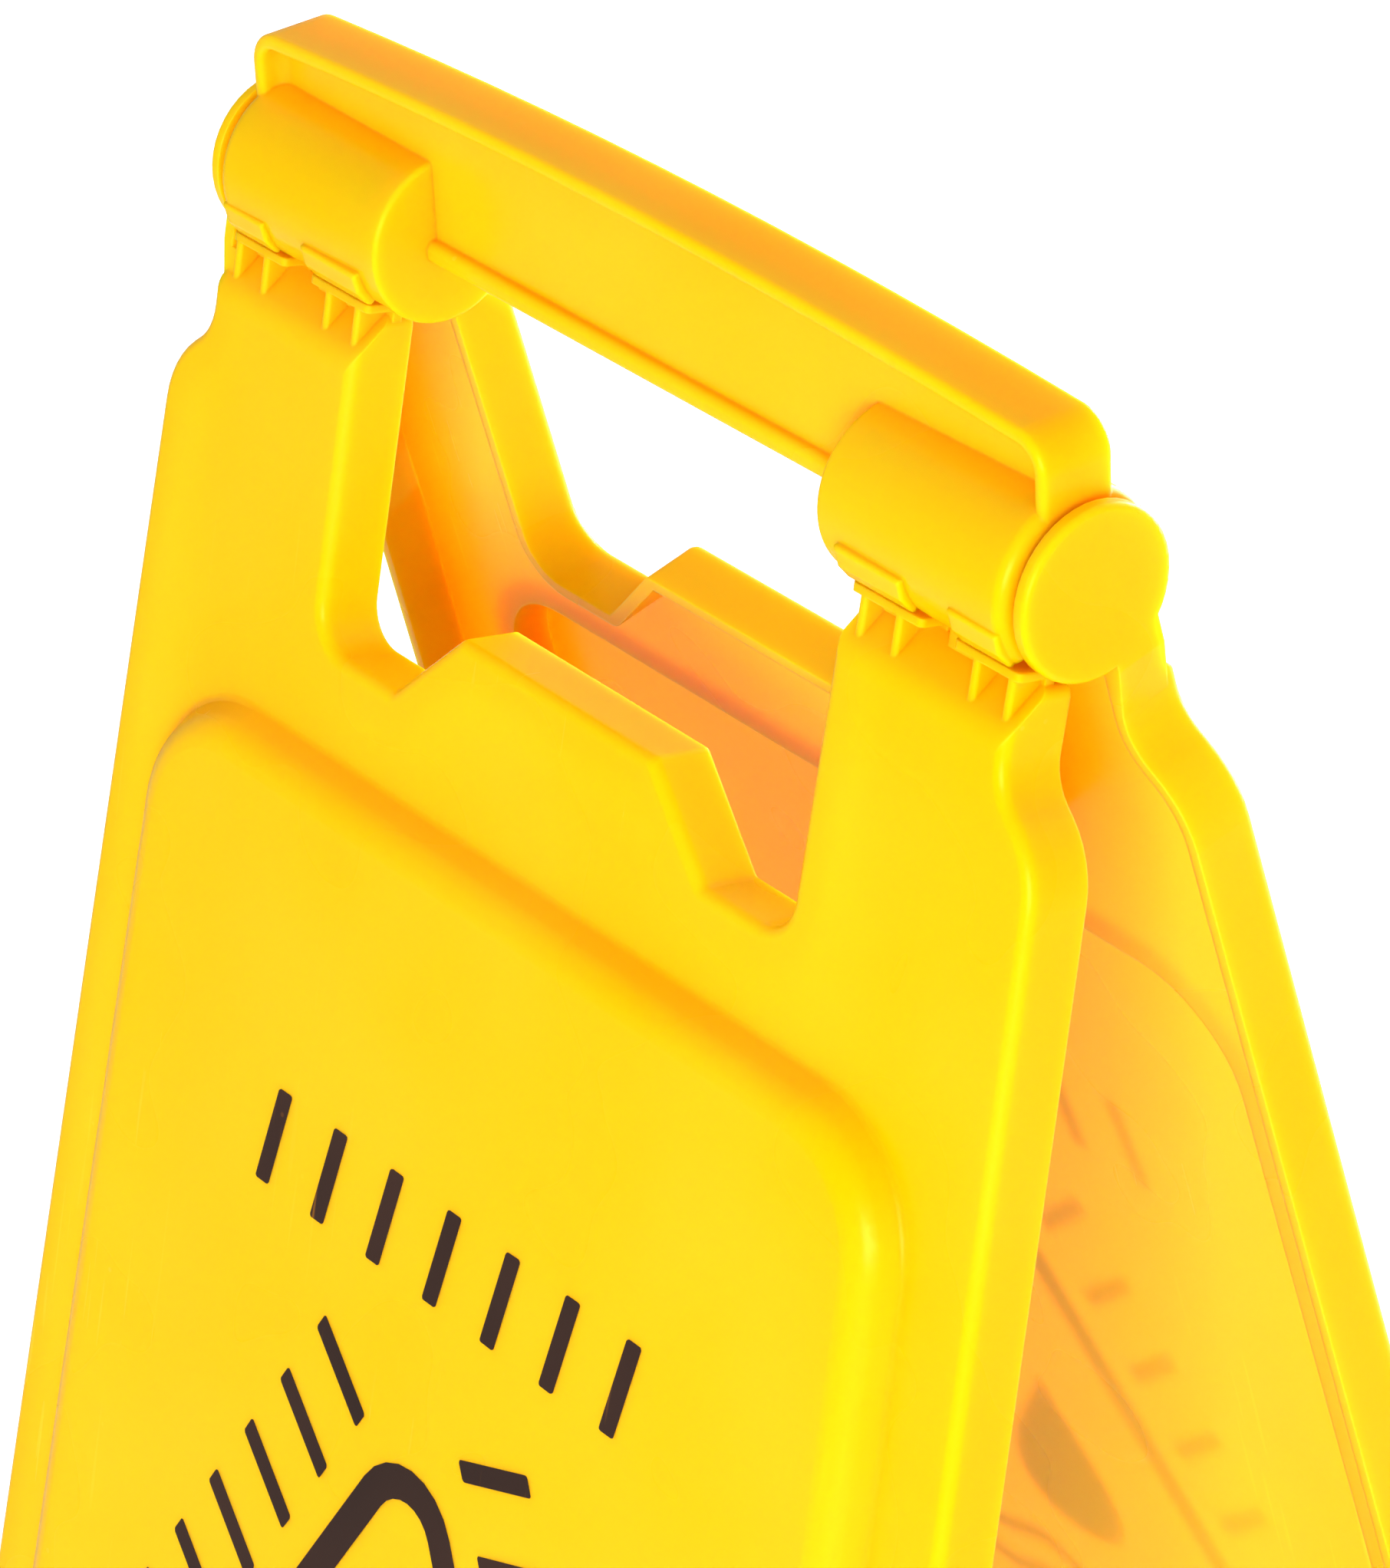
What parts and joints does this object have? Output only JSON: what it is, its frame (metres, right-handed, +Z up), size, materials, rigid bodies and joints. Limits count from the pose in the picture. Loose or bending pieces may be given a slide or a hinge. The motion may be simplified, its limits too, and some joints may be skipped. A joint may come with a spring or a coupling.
{
  "type": "folding floor sign",
  "caption": "Folding A-frame floor sign of moulded yellow plastic: tray-shaped leaves with hand openings hinge under an arched carrying handle.",
  "frame": {"origin": "on the floor, midway between the four feet, with the sign standing open", "axes": "+Z up, X along the hinge axis, -Y out of the front leaf's face"},
  "size_m": [0.2982, 0.2974, 0.6006],
  "materials": {
    "leaf_plastic": "satin polypropylene, fine moulded skin",
    "handle_plastic": "satin polypropylene, fine moulded skin",
    "pin_plastic": "natural acetal rod"
  },
  "bodies": {
    "handle": {"handle": "handle_plastic", "hinge_pin_left": "pin_plastic", "hinge_pin_right": "pin_plastic"},
    "front_leaf": {"front_leaf": "leaf_plastic"},
    "rear_leaf": {"rear_leaf": "leaf_plastic"}
  },
  "joints": [
    {"name": "front_leaf_hinge", "type": "hinge", "parent": "handle", "child": "front_leaf", "pos_m": [0, 0, 0.569], "axis": [1, 0, 0], "range_deg": [0, 13.4]},
    {"name": "rear_leaf_hinge", "type": "hinge", "parent": "handle", "child": "rear_leaf", "pos_m": [0, 0, 0.569], "axis": [-1, 0, 0], "range_deg": [0, 13.4]}
  ]
}
